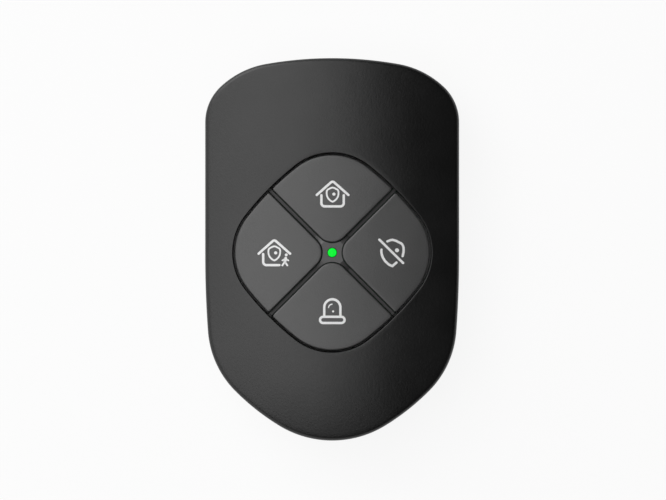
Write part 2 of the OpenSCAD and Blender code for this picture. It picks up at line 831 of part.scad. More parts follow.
// A part soldered under the board
module hung_part(x, y, w, l, h) {
  translate([x, y]) block(w, l, board_bottom_z - h, board_bottom_z);
}

module controller_chip() {
  x = (controller_w - chip_row_l) / 2;
  color(moulded_black) hung_part(x, chip_row_y, controller_w, controller_w, chip_h);
}

module radio_chip() {
  x = controller_w + chip_gap + (radio_w - chip_row_l) / 2;
  color(moulded_black) hung_part(x, chip_row_y, radio_w, radio_w, chip_h);
}

module radio_crystal() {
  x = (chip_row_l - crystal_l) / 2;
  color(bright_steel) hung_part(x, chip_row_y, crystal_l, crystal_w, crystal_h);
}

module clock_crystal() {
  color(bright_steel)
    translate([-chip_row_l / 2 - chip_gap, chip_row_y - clock_l / 2, board_bottom_z - clock_d / 2])
      rotate([-90, 0, 0]) cylinder(d = clock_d, h = clock_l, $fn = fine);
}

module at_side_parts(rows) {
  for (side = [-1, 1], i = rows)
    translate([side * (body_w / 2 - side_part_in), side_part_y + side_part_pitch * i]) children();
}

module chip_capacitors() {
  color(ceramic_tan) {
    for (i = [-2.5:2.5])
      hung_part(capacitor_pitch * i, board_crown_y - capacitor_row_in, small_w, small_l, capacitor_h);
    at_side_parts([0]) hung_part(0, 0, small_l, small_w, capacitor_h);
  }
}

module chip_resistors() {
  color(moulded_black) at_side_parts([1:3]) hung_part(0, 0, small_l, small_w, resistor_h);
}

module matching_coils() {
  color(ceramic_tan)
    for (i = [-1:1])
      hung_part(matching_pitch * i, board_crown_y - matching_row_in, small_l, small_w, matching_h);
}

// A wire swept along a path, with its rings turned by the path's direction
module wire(path, d, sides) {
  n = len(path);
  function along(i) = let (t = path[min(i + 1, n - 1)] - path[max(i - 1, 0)]) t / norm(t);
  rings = [for (i = [0:n - 1])
    let (t = along(i), u = cross(t, [1, 0, 0]), v = u / norm(u), w = cross(t, v))
    [for (k = [0:sides - 1])
      path[i] + d / 2 * (cos(360 * k / sides) * v + sin(360 * k / sides) * w)]];
  points = [for (ring = rings, p = ring) p];
  polyhedron(points, concat(
    [[for (k = [0:sides - 1]) k]],
    [for (i = [0:n - 2], k = [0:sides - 1])
      let (j = (k + 1) % sides, a = i * sides, b = a + sides)
      each [[a + k, b + k, b + j], [a + k, b + j, a + j]]],
    [[for (k = [sides - 1:-1:0]) (n - 1) * sides + k]]));
}

module antenna_coil() {
  steps = 12;
  r = (coil_d - coil_wire_d) / 2;
  y = antenna_y;
  z = board_top_z + coil_lift + coil_d / 2;
  x0 = -coil_turns * coil_pitch / 2;
  turns = [for (i = [0:coil_turns * steps])
    [x0 + coil_pitch * i / steps, y + r * cos(360 * i / steps), z + r * sin(360 * i / steps)]];
  feet = [[x0, y + r, board_top_z], [-x0, y + r, board_top_z]];
  color(gold_plate) wire(concat([feet[0]], turns, [feet[1]]), coil_wire_d, 6);
}

// Battery
module battery_cell() {
  color(bright_steel)
    translate([0, -cell_drop]) {
      rod(cell_d, cell_z, cell_top_z - cell_step_h);
      rod(cell_d - 2 * cell_step_w, cell_z, cell_top_z);
    }
}

module battery_holder() {
  rim_z = board_bottom_z - holder_rim_t;
  color(moulded_black)
    translate([0, -cell_drop])
      difference() {
        rod(holder_d, cell_z + holder_foot_gap, board_bottom_z);
        rod(cell_d + 2 * cell_gap, 0, rim_z);
        rod(cell_d - 2 * holder_rim_w, 0, board_bottom_z + cut);
        translate([0, -holder_d / 2]) block(holder_slot_w, 2 * (holder_wall + cut), 0, rim_z);
      }
}

module positive_contact() {
  reach = holder_d / 2 + strip_leg_gap;
  color(bright_steel)
    translate([0, -cell_drop]) {
      block(2 * (reach + strip_t), strip_w, strip_z, cell_z);
      for (side = [-1, 1])
        translate([side * (reach + strip_t / 2), 0]) block(strip_t, strip_w, strip_z, board_bottom_z);
    }
}

module negative_contact() {
  disc_z = board_bottom_z - strip_t;
  middle_z = board_bottom_z - cell_board_gap / 2;
  color(gold_plate)
    translate([0, -cell_drop])
      rotate_extrude($fn = fine)
        polygon([[0, cell_top_z], [dome_tip_r, cell_top_z], [dome_r, disc_z], [disc_r, disc_z],
          [disc_r, board_bottom_z], [dome_r - dome_t, board_bottom_z],
          [dome_tip_r - dome_t, middle_z], [0, middle_z]]);
}

front_cover();
rear_cover();
case_screws();
lanyard_bar();
key_frame();
light_pipe();
home_key();
away_key();
disarm_key();
alarm_key();
circuit_board();
board_screws();
home_switch_base();
away_switch_base();
disarm_switch_base();
alarm_switch_base();
home_switch_plate();
away_switch_plate();
disarm_switch_plate();
alarm_switch_plate();
home_plunger();
away_plunger();
disarm_plunger();
alarm_plunger();
status_led();
controller_chip();
radio_chip();
radio_crystal();
clock_crystal();
chip_capacitors();
chip_resistors();
matching_coils();
antenna_coil();
battery_cell();
battery_holder();
positive_contact();
negative_contact();
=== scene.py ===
import json
import math

import bpy
import numpy as np
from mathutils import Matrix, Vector


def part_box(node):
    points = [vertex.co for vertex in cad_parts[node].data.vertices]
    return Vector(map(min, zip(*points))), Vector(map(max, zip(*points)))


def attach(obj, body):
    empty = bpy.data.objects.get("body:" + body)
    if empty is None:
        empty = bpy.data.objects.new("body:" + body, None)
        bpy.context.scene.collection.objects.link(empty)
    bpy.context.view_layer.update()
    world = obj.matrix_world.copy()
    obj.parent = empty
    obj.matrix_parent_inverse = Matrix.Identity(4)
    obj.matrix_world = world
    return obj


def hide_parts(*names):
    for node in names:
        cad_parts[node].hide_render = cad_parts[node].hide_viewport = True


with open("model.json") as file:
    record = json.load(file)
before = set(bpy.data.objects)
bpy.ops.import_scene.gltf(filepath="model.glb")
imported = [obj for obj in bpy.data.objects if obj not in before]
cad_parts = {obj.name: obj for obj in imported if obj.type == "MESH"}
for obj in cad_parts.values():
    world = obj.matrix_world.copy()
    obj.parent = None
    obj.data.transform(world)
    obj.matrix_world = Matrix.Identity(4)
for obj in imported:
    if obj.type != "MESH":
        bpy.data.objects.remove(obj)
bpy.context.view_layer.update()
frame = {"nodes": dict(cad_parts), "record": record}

MM = 0.001

# Sizes that the frame gives, in millimetres
front_low, front_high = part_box("front_cover")
rear_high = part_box("rear_cover")[1]
frame_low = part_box("key_frame")[0]
pipe_low, pipe_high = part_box("light_pipe")
screws_low, screws_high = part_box("case_screws")
BODY_W = (front_high.x - front_low.x) / MM
BODY_L = (front_high.y - front_low.y) / MM
BODY_T = front_high.z / MM
REAR_TOP = rear_high.z / MM
PAD_Y = (pipe_low.y + pipe_high.y) / 2 / MM
HUB_Z = pipe_high.z / MM

# The housing's own sizes, in millimetres
FACE_R = 60.0
TIP_BEND_R = 60.0
TIP_BEND_Y = 14.4
FRONT_EDGE_R = 0.6
REAR_EDGE_R = 2.4
SEAM_GAP = 0.1
SEAM_EDGE_R = 0.12
WALL = 1.6
ROOF = 1.5
FLOOR = 1.4
TONGUE = 1.0
TONGUE_FIT = 0.05
CROWN_TURN = 9.6
SHOULDER_R, SHOULDER_TURN = 13.3, 32.9
CORNER_R = 7.2
WAIST_R, WAIST_TURN = 154.0, 4.2
HIP_R, HIP_TURN = 14.0, 40.9
SLOPE_R, SLOPE_TURN = 35.8, 13.4

# The keypad's sizes, in millimetres
PAD_MARGIN = 4.33
PAD_CORNER_X = 6.0
PAD_SIDE_C = 30.6
WINDOW_GAP = 0.38
WINDOW_EDGE_R = 0.1
RIB_W = 0.43
RIB_GAP = 0.155
NOSE_R = 2.45
KEY_EDGE_R = 0.2
KEY_TIP_R = 0.3
LIP_W = 0.9
LIP_T = 0.7
KEY_SINK = 0.02
INK = 0.014

SEAM_BASE = REAR_TOP + SEAM_GAP
TONGUE_Z = REAR_TOP + SEAM_GAP / 2 - TONGUE
GROOVE_Z = TONGUE_Z - TONGUE_FIT

# The rear's sizes, in millimetres
CASE_BOSS_D = 4.8
CASE_HEAD_D = 3.4
RECESS_D = 3.8
SHANK_HOLE_D = 2.0
RECESS = 1.7
NOTCH_W, NOTCH_L, NOTCH_H = 8.0, 5.5, 4.0
NOTCH_WALL = 1.2
# Distances from the crown edge at which the notch's walls start, below the groove and beside it
LOW_WALL_REACH = 0.75 * WALL
GROOVE_REACH = 2.6
# How far a piece starts inside the one that it joins, and how far a cutting tool runs past
BURIED = FLOOR / 2
OVERRUN = 1.0
SCREW_X = screws_high.x / MM - CASE_HEAD_D / 2
CROWN_SCREW_Y = screws_high.y / MM - CASE_HEAD_D / 2
TIP_SCREW_Y = screws_low.y / MM + CASE_HEAD_D / 2
SCREWS_AT = ((SCREW_X, CROWN_SCREW_Y), (-SCREW_X, CROWN_SCREW_Y), (0.0, TIP_SCREW_Y))

# The light and the printed strokes, in millimetres
LIGHT_R = 0.66
LENS_EDGE_R = 0.12
INK_W = 0.36
INK_THIN = 0.26
STROKE_STEP = 0.3

# How finely the outlines and rings are drawn, in millimetres, degrees and counts
OUTLINE_RUN, OUTLINE_TURN = 0.6, 1.5
TRACE_ANGLES = 4000
HALVINGS = 40
PAD_SEARCH, KEY_SEARCH = 20.0, 12.0
KEY_POINTS = 420
SEAM_STEPS = 3
FRONT_EDGE_STEPS, FACE_RINGS = 8, 24
WINDOW_EDGE_STEPS, ROOF_RINGS = 4, 8
REAR_EDGE_STEPS = 10
KEY_EDGE_STEPS, KEY_TOP_RINGS = 5, 14
LENS_EDGE_STEPS = 5
ROUND_POINTS, DOT_POINTS = 96, 24
SMOOTH_ANGLE = 35.0


def sin(degrees):
    return math.sin(math.radians(degrees))


def cos(degrees):
    return math.cos(math.radians(degrees))


# The outline of the housing
def walk(chain, at):
    """Points and outward normals along tangent arcs (radius, turn) and straights (length,), clockwise."""
    x, y = at
    heading = 0.0
    points = [(x, y, 0.0)]
    for leg in chain:
        turn = leg[1] if len(leg) == 2 else 0.0
        run = leg[0] * math.radians(turn) if turn else leg[0]
        steps = math.ceil(max(turn / OUTLINE_TURN, run / OUTLINE_RUN))
        for k in range(1, steps + 1):
            if turn:
                now = heading - turn * k / steps
                along, across = sin(heading) - sin(now), cos(heading) - cos(now)
                points.append((x + leg[0] * along, y - leg[0] * across, now))
            else:
                share = run * k / steps
                points.append((x + share * cos(heading), y + share * sin(heading), heading))
        x, y, heading = points[-1]
    return points


def half_outline():
    """The right half of the outline, from the crown to the tip, as [x, y, heading]."""
    crown_sum = CROWN_TURN + SHOULDER_TURN
    hip_sum = WAIST_TURN + HIP_TURN
    slope_sum = hip_sum + SLOPE_TURN
    crown_r = BODY_W / 2 - SHOULDER_R * (sin(crown_sum) - sin(CROWN_TURN)) - CORNER_R * (1 - sin(crown_sum))
    crown_r /= sin(CROWN_TURN)
    tip_r = BODY_W / 2 - WAIST_R * (1 - cos(WAIST_TURN)) - HIP_R * (cos(WAIST_TURN) - cos(hip_sum))
    tip_r = (tip_r - SLOPE_R * (cos(hip_sum) - cos(slope_sum))) / cos(slope_sum)
    upper = crown_r * (1 - cos(CROWN_TURN)) + SHOULDER_R * (cos(CROWN_TURN) - cos(crown_sum))
    upper += CORNER_R * cos(crown_sum)
    lower = WAIST_R * sin(WAIST_TURN) + HIP_R * (sin(hip_sum) - sin(WAIST_TURN))
    lower += SLOPE_R * (sin(slope_sum) - sin(hip_sum)) + tip_r * (1 - sin(slope_sum))
    chain = [(crown_r, CROWN_TURN), (SHOULDER_R, SHOULDER_TURN), (CORNER_R, 90 - crown_sum),
             (BODY_L - upper - lower,), (WAIST_R, WAIST_TURN), (HIP_R, HIP_TURN),
             (SLOPE_R, SLOPE_TURN), (tip_r, 90 - slope_sum)]
    return walk(chain, (0.0, BODY_L / 2))


def outline():
    """The whole outline, anticlockwise from above, as arrays of points and outward normals."""
    half = half_outline()
    whole = half + [(-x, y, -heading) for x, y, heading in half[-2:0:-1]]
    whole = np.array(whole[::-1])
    turn = np.radians(whole[:, 2])
    return whole[:, :2], np.stack([-np.sin(turn), np.cos(turn)], axis=1)


EDGE, EDGE_OUT = outline()


def face_z(x, y):
    """Height of the front face: an arch across the body that bends down towards the tip."""
    bend = np.maximum(0.0, -y - TIP_BEND_Y) ** 2 / (2 * TIP_BEND_R)
    return BODY_T - FACE_R + np.sqrt(FACE_R ** 2 - x ** 2) - bend


def ring(points, height):
    return np.column_stack([points, np.broadcast_to(height, len(points))])


def rim(inset):
    return EDGE - inset * EDGE_OUT


# The rounded diamond of the keypad and the keys in it, as distances that are negative inside
PAD_REACH = BODY_W / 2 - PAD_MARGIN
PAD_CORNER_R = PAD_REACH - PAD_CORNER_X
PAD_SHIFT = PAD_SIDE_C / math.sqrt(2)
PAD_SIDE_R = PAD_CORNER_R + math.hypot(PAD_CORNER_X + PAD_SHIFT, PAD_SHIFT)


def pad_distance(x, y):
    """Distance from the keypad's outline, which joins corner arcs and flatter side arcs."""
    far, near = np.maximum(abs(x), abs(y)), np.minimum(abs(x), abs(y))
    corner = np.hypot(far - PAD_CORNER_X, near) - PAD_CORNER_R
    side = np.hypot(far + PAD_SHIFT, near + PAD_SHIFT) - PAD_SIDE_R
    in_corner = near * (PAD_CORNER_X + PAD_SHIFT) < (far - PAD_CORNER_X) * PAD_SHIFT
    return np.where(in_corner, corner, side)


def wedge_distance(x, y, half_split, nose_r):
    """Distance from a wedge that opens towards +X with a rounded nose."""
    nose_x = (half_split + nose_r) * math.sqrt(2)
    across = abs(y)
    past = (across + (x - nose_x)) / math.sqrt(2)
    side = (across - (x - nose_x)) / math.sqrt(2)
    flank = side - nose_r
    nose = np.hypot(x - nose_x, across) - nose_r
    return np.where(past < 0, nose, flank)


def key_distance(x, y, outset=0.0):
    """Distance from the outline of the key towards +X, with its outer edge moved out by outset."""
    outer = pad_distance(x, y) + WINDOW_GAP / 2 - outset
    sides = wedge_distance(x, y, RIB_W / 2 + RIB_GAP, NOSE_R)
    a, b = outer + KEY_TIP_R, sides + KEY_TIP_R
    return np.minimum(np.maximum(a, b), 0) + np.hypot(np.maximum(a, 0), np.maximum(b, 0)) - KEY_TIP_R


def traced(distance, centre, reach, angles):
    """Points round centre where the distance is zero, found by halving along each ray."""
    ray = np.stack([np.cos(angles), np.sin(angles)], axis=1)
    low, high = np.zeros(len(angles)), np.full(len(angles), reach)
    for _ in range(HALVINGS):
        middle = (low + high) / 2
        at = centre + ray * middle[:, None]
        inside = distance(at[:, 0], at[:, 1]) < 0
        low, high = np.where(inside, middle, low), np.where(inside, high, middle)
    return centre + ray * ((low + high) / 2)[:, None]


def even_angles(distance, centre, reach, count):
    """Angles of points spaced evenly along a traced outline."""
    angles = np.linspace(0, 2 * math.pi, TRACE_ANGLES, endpoint=False)
    points = traced(distance, centre, reach, angles)
    steps = np.linalg.norm(np.roll(points, -1, axis=0) - points, axis=1)
    along = np.concatenate([[0], np.cumsum(steps)])
    even = np.linspace(0, along[-1], count, endpoint=False)
    return np.interp(even, along, np.append(angles, 2 * math.pi))


# Meshes from rings of points
def smooth(mesh):
    """Smooth shading, broken where faces meet at more than SMOOTH_ANGLE."""
    mesh.shade_smooth()
    mesh.set_sharp_from_angle(angle=math.radians(SMOOTH_ANGLE))


def placed(name, data):
    item = bpy.data.objects.new(name, data)
    bpy.context.collection.objects.link(item)
    return item


def mesh_piece(name, points, faces):
    mesh = bpy.data.meshes.new(name)
    mesh.from_pydata([tuple(p) for p in np.asarray(points) * MM], [], faces)
    mesh.validate()
    smooth(mesh)
    return placed(name, mesh)


def ring_faces(rings, size, closed):
    """Quads between rings that run anticlockwise and follow each other upwards outside."""
    faces = []
    for k in range(rings if closed else rings - 1):
        low, high = k * size, (k + 1) % rings * size
        faces += [(low + i, low + (i + 1) % size, high + (i + 1) % size, high + i) for i in range(size)]
    return faces


def loft(name, rings, closed=False, top_centre=None):
    """A solid through rings; closed joins the last ring to the first, as on a shell with a hole."""
    size, count = len(rings[0]), len(rings)
    points = np.concatenate(rings)
    faces = ring_faces(count, size, closed)
    if not closed:
        faces.append(tuple(range(size - 1, -1, -1)))
        last = (count - 1) * size
        if top_centre is None:
            faces.append(tuple(range(last, last + size)))
        else:
            points = np.vstack([points, top_centre])
            faces += [(last + i, last + (i + 1) % size, count * size) for i in range(size)]
    return mesh_piece(name, points, faces)


def quarter(steps):
    """Angles of a quarter turn, from 0 to 90 degrees."""
    return [90.0 * k / steps for k in range(steps + 1)]


# Materials
class Signal:
    """A shader socket that takes part in Python arithmetic."""

    def __init__(self, network, socket):
        self.network = network
        self.socket = socket

    def __add__(self, other):
        return self.network.maths("ADD", self, other)

    def __radd__(self, other):
        return self.network.maths("ADD", other, self)

    def __sub__(self, other):
        return self.network.maths("SUBTRACT", self, other)

    def __rsub__(self, other):
        return self.network.maths("SUBTRACT", other, self)

    def __mul__(self, other):
        return self.network.maths("MULTIPLY", self, other)

    def __rmul__(self, other):
        return self.network.maths("MULTIPLY", other, self)


class Network:
    """The shader nodes of one material or world."""

    def __init__(self, owner):
        owner.use_nodes = True
        self.owner = owner
        self.tree = owner.node_tree
        self.tree.nodes.clear()

    def node(self, kind, settings=None, sockets=None, output=0):
        made = self.tree.nodes.new(kind)
        for key, value in (settings or {}).items():
            setattr(made, key, value)
        for key, value in (sockets or {}).items():
            if isinstance(value, Signal):
                self.tree.links.new(value.socket, made.inputs[key])
            else:
                made.inputs[key].default_value = value
        return Signal(self, made.outputs[output]) if len(made.outputs) else None

    def maths(self, operation, a, b):
        return self.node("ShaderNodeMath", {"operation": operation}, {0: a, 1: b})

    def place(self):
        return self.node("ShaderNodeTexCoord", output="Object")

    def noise(self, size_mm, detail=2.0, place=None):
        """Noise round 0.5 with features of about size_mm."""
        sockets = {"Vector": place or self.place(), "Scale": 1 / (size_mm * MM), "Detail": detail}
        return self.node("ShaderNodeTexNoise", None, sockets)

    def spread(self, signal, low, high):
        """Noise, which lies mostly between 0.3 and 0.7, stretched to run from low to high."""
        return self.node("ShaderNodeMapRange", None, {0: signal, 1: 0.3, 2: 0.7, 3: low, 4: high})

    def rise(self, low_mm, high_mm):
        """0 below the first height over the rear face and 1 above the second."""
        height = self.node("ShaderNodeSeparateXYZ", None, {0: self.place()}, output=2)
        sockets = {0: height, 1: low_mm * MM, 2: high_mm * MM, 3: 0.0, 4: 1.0}
        return self.node("ShaderNodeMapRange", None, sockets)

    def mixed(self, share, first, second):
        return self.node("ShaderNodeMix", {"data_type": "RGBA"}, {0: share, 6: first, 7: second}, output=2)

    def mottle(self, noise, first, second):
        return self.mixed(self.spread(noise, 0.0, 1.0), first, second)

    def ray(self, kind):
        return self.node("ShaderNodeLightPath", output=kind)

    def bump(self, height, strength, depth_mm):
        sockets = {"Height": height, "Strength": strength, "Distance": depth_mm * MM}
        return self.node("ShaderNodeBump", None, sockets)

    def surface(self, **sockets):
        """The finished material, with sockets of the Principled shader given in lower case."""
        named = {}
        for key, value in sockets.items():
            named[key.replace("_", " ").title().replace("Ior", "IOR")] = value
        shader = self.node("ShaderNodeBsdfPrincipled", None, named)
        self.node("ShaderNodeOutputMaterial", None, {0: shader})
        return self.owner


def finish(name):
    return Network(bpy.data.materials.new(name))


def rgb(red, green, blue):
    return (red, green, blue, 1.0)


def grey(value, warmth=0.0):
    return rgb(value * (1 + warmth), value, value * (1 - warmth))


PLASTIC_IOR = 1.5


def cover_plastic():
    """Near-black satin moulding with a very fine spark texture, slightly polished by handling."""
    made = finish("cover_plastic")
    cloud = made.noise(size_mm=9.0, detail=3.0)
    grain = made.noise(size_mm=0.12)
    pebble = made.noise(size_mm=0.35, detail=1.0)
    colour = made.mottle(cloud, grey(0.0016, warmth=-0.02), grey(0.0026, warmth=-0.01))
    rough = made.spread(cloud, 0.34, 0.4) + made.spread(grain, -0.02, 0.02)
    relief = made.bump(grain * 0.5 + pebble * 0.5, strength=0.8, depth_mm=0.03)
    return made.surface(base_color=colour, roughness=rough, normal=relief, ior=PLASTIC_IOR)


def key_plastic():
    """Dark grey soft-touch keys with a fine matt grain."""
    made = finish("key_plastic")
    cloud = made.noise(size_mm=5.0, detail=3.0)
    grain = made.noise(size_mm=0.09)
    pebble = made.noise(size_mm=0.3, detail=1.0)
    colour = made.mottle(cloud, grey(0.063), grey(0.071))
    rough = made.spread(cloud, 0.4, 0.46) + made.spread(grain, -0.03, 0.03)
    relief = made.bump(grain * 0.5 + pebble * 0.5, strength=0.9, depth_mm=0.035)
    return made.surface(base_color=colour, roughness=rough, normal=relief, ior=PLASTIC_IOR)


def frame_plastic():
    """The key frame: the keys' grey on the hub round the light; down in the rib's arms it is matt and
    darker, with painted shade.
    """
    made = finish("frame_plastic")
    # This mask is 0 down in the rib's arms and 1 on the hub; it sets the painted shade of the arms and the
    # hub's polish.
    unshaded_hub = made.rise(HUB_Z - 0.6, HUB_Z - 0.1)
    grain = made.noise(size_mm=0.09)
    # Painted shade: the rib's arms below the hub get a darker grey than the hub.
    colour = made.mixed(unshaded_hub, grey(0.046), grey(0.07))
    deep_rough, hub_polish = 0.62, 0.14
    rough = deep_rough - unshaded_hub * hub_polish + made.spread(grain, -0.03, 0.03)
    relief = made.bump(grain, strength=0.2, depth_mm=0.01)
    return made.surface(base_color=colour, roughness=rough, normal=relief, ior=PLASTIC_IOR)


def print_white():
    """White pad-printed ink, a little uneven in its cover."""
    made = finish("print_white")
    cover = made.noise(size_mm=0.15)
    colour = made.mottle(cover, grey(0.82), grey(0.92))
    return made.surface(base_color=colour, roughness=made.spread(cover, 0.45, 0.6), ior=PLASTIC_IOR)


def lit_green():
    """Clear light pipe whose face glows green from the diode below."""
    made = finish("lit_green")
    haze = made.noise(size_mm=0.3)
    lit = made.mottle(haze, rgb(0.0, 0.92, 0.03), rgb(0.0, 1.0, 0.05))
    glow = made.mixed(made.rise(HUB_Z - 0.3, HUB_Z - 0.05), rgb(0.0, 0.02, 0.001), lit)
    return made.surface(base_color=rgb(0.0, 0.05, 0.005), emission_color=glow, emission_strength=0.9,
                        roughness=made.spread(haze, 0.3, 0.4), specular_ior_level=0.1)


def metal(name, tint, low_rough, high_rough, line_mm):
    """Drawn or pressed metal with fine lines along X and duller patches."""
    made = finish(name)
    stretch, dulling = 0.08, 0.82
    drawn = made.node("ShaderNodeVectorMath", {"operation": "MULTIPLY"},
                      {0: made.place(), 1: (stretch, 1.0, 1.0)})
    lines = made.noise(line_mm, detail=3.0, place=drawn)
    cloud = made.noise(size_mm=3.0)
    colour = made.mottle(cloud, rgb(*(dulling * part for part in tint)), rgb(*tint))
    rough = made.spread(lines, low_rough, high_rough)
    relief = made.bump(lines, strength=0.1, depth_mm=0.01)
    return made.surface(base_color=colour, metallic=1.0, roughness=rough, normal=relief)


def moulded_black():
    """Plain moulded parts inside the housing."""
    made = finish("moulded_black")
    grain = made.noise(size_mm=0.2)
    colour = made.mottle(grain, grey(0.0108), grey(0.0132))
    return made.surface(base_color=colour, roughness=made.spread(grain, 0.45, 0.55),
                        normal=made.bump(grain, strength=0.1, depth_mm=0.01))


def tinted(name, dark, light, size_mm, low_rough, high_rough):
    """A coloured part with a soft mottle."""
    made = finish(name)
    cloud = made.noise(size_mm, detail=3.0)
    colour = made.mottle(cloud, rgb(*dark), rgb(*light))
    return made.surface(base_color=colour, roughness=made.spread(cloud, low_rough, high_rough))


COVER = cover_plastic()
KEYS = key_plastic()
KEY_FRAME = frame_plastic()
INK_WHITE = print_white()
GLOW = lit_green()

# The finish of each material slot of the CAD nodes
FINISHES = {
    "cover_black": COVER,
    "key_grey": KEYS,
    "light_green": GLOW,
    "steel": metal("steel", (0.62, 0.61, 0.6), low_rough=0.2, high_rough=0.34, line_mm=0.2),
    "cell_can": metal("cell_can", (0.7, 0.7, 0.69), low_rough=0.18, high_rough=0.28, line_mm=0.3),
    "gold_plate": metal("gold_plate", (0.9, 0.66, 0.28), low_rough=0.2, high_rough=0.3, line_mm=0.2),
    "moulded_black": moulded_black(),
    "board_green": tinted("board_green", dark=(0.004, 0.05, 0.02), light=(0.008, 0.09, 0.035),
                          size_mm=4.0, low_rough=0.3, high_rough=0.4),
    "ceramic": tinted("ceramic", dark=(0.3, 0.22, 0.14), light=(0.42, 0.32, 0.22),
                      size_mm=0.6, low_rough=0.4, high_rough=0.5),
}


def dress_cad_nodes():
    """Gives each CAD node the finish of its material slot, and the key frame its own."""
    slots = {part["node"]: part["material_slot"] for part in frame["record"]["subparts"]}
    for name, item in frame["nodes"].items():
        item.data.materials.clear()
        item.data.materials.append(KEY_FRAME if name == "key_frame" else FINISHES[slots[name]])


def dressed(piece, look, body, slot_name, *replaced):
    """Gives a piece its finish and body, and hides the nodes that it stands for; slot_name is not used."""
    piece.data.materials.append(look)
    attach(piece, body)
    if replaced:
        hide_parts(*replaced)
    return piece


def front_shell():
    """The front cover as one closed shell: wall, rolled edge, arched face, window, inside and tongue."""
    to_pad = EDGE - (0, PAD_Y)
    angles = np.arctan2(to_pad[:, 1], to_pad[:, 0])

    def window(outset):
        reach = WINDOW_GAP / 2 + outset
        edge = traced(lambda x, y: pad_distance(x, y) - reach, np.zeros(2), PAD_SEARCH, angles)
        return edge + (0, PAD_Y)

    rings = []
    for a in quarter(SEAM_STEPS):
        rings.append(ring(rim(SEAM_EDGE_R * (1 - sin(a))), SEAM_BASE + SEAM_EDGE_R * (1 - cos(a))))
    for a in quarter(FRONT_EDGE_STEPS):
        points = rim(FRONT_EDGE_R * (1 - cos(a)))
        rings.append(ring(points, face_z(*points.T) - FRONT_EDGE_R * (1 - sin(a))))
    outer, inner = rim(FRONT_EDGE_R), window(WINDOW_EDGE_R)
    for share in np.linspace(0, 1, FACE_RINGS + 1)[1:-1]:
        points = outer + (inner - outer) * share
        rings.append(ring(points, face_z(*points.T)))
    for a in quarter(WINDOW_EDGE_STEPS):
        points = window(WINDOW_EDGE_R * (1 - sin(a)))
        rings.append(ring(points, face_z(*points.T) - WINDOW_EDGE_R * (1 - cos(a))))
    window_edge, under = window(0.0), rim(WALL)
    for share in np.linspace(0, 1, ROOF_RINGS + 1):
        points = window_edge + (under - window_edge) * share
        rings.append(ring(points, face_z(*points.T) - ROOF))
    tongue_edge = rim(WALL / 2 + TONGUE_FIT)
    rings += [ring(under, TONGUE_Z), ring(tongue_edge, TONGUE_Z), ring(tongue_edge, SEAM_BASE)]
    return dressed(loft("front_shell", rings, closed=True), COVER, "root", "cover_black", "front_cover")


def circle(r, at):
    angles = np.linspace(0, 2 * math.pi, ROUND_POINTS, endpoint=False)
    return r * np.stack([np.cos(angles), np.sin(angles)], axis=1) + at


def rod(name, at, diameter, low, high):
    points = circle(diameter / 2, at)
    return loft(name, [ring(points, low), ring(points, high)])


def block(name, at, size, low, high):
    points = np.array([(1, 1), (-1, 1), (-1, -1), (1, -1)]) * (size[0] / 2, size[1] / 2) + at
    return loft(name, [ring(points, low), ring(points, high)])


def combined(piece, operation, tool):
    """Applies an exact Boolean to a piece and removes the tool."""
    change = piece.modifiers.new(operation.lower(), "BOOLEAN")
    change.operation, change.solver, change.object = operation, "EXACT", tool
    seen = piece.evaluated_get(bpy.context.evaluated_depsgraph_get())
    mesh = bpy.data.meshes.new_from_object(seen)
    piece.modifiers.clear()
    old, piece.data = piece.data, mesh
    mesh.name = piece.name
    bpy.data.meshes.remove(old)
    bpy.data.objects.remove(tool)
    smooth(mesh)


def rear_shell():
    """The rear cover: rolled edge, groove, floor, screw bosses and recesses, and the notch for the bar."""
    rings = []
    for a in quarter(REAR_EDGE_STEPS):
        rings.append(ring(rim(REAR_EDGE_R * (1 - sin(a))), REAR_EDGE_R * (1 - cos(a))))
    for a in quarter(SEAM_STEPS):
        rings.append(ring(rim(SEAM_EDGE_R * (1 - cos(a))), REAR_TOP - SEAM_EDGE_R * (1 - sin(a))))
    rings += [ring(rim(WALL / 2), REAR_TOP), ring(rim(WALL / 2), GROOVE_Z), ring(rim(WALL), GROOVE_Z),
              ring(rim(WALL), FLOOR)]
    shell = loft("rear_shell", rings)
    crown_y = BODY_L / 2
    for near, top in ((LOW_WALL_REACH, GROOVE_Z), (GROOVE_REACH, REAR_TOP)):
        size = (NOTCH_W + 2 * NOTCH_WALL, NOTCH_L + NOTCH_WALL - near)
        combined(shell, "UNION", block("walls", (0.0, crown_y - near - size[1] / 2), size, BURIED, top))
    for at in SCREWS_AT:
        combined(shell, "UNION", rod("boss", at, CASE_BOSS_D, BURIED, REAR_TOP))
        combined(shell, "DIFFERENCE", rod("recess", at, RECESS_D, -OVERRUN, RECESS))
        combined(shell, "DIFFERENCE", rod("hole", at, SHANK_HOLE_D, RECESS - OVERRUN, REAR_TOP + OVERRUN))
    combined(shell, "DIFFERENCE", block("notch", (0.0, crown_y), (NOTCH_W, 2 * NOTCH_L), -OVERRUN, NOTCH_H))
    return dressed(shell, COVER, "root", "cover_black", "rear_cover")


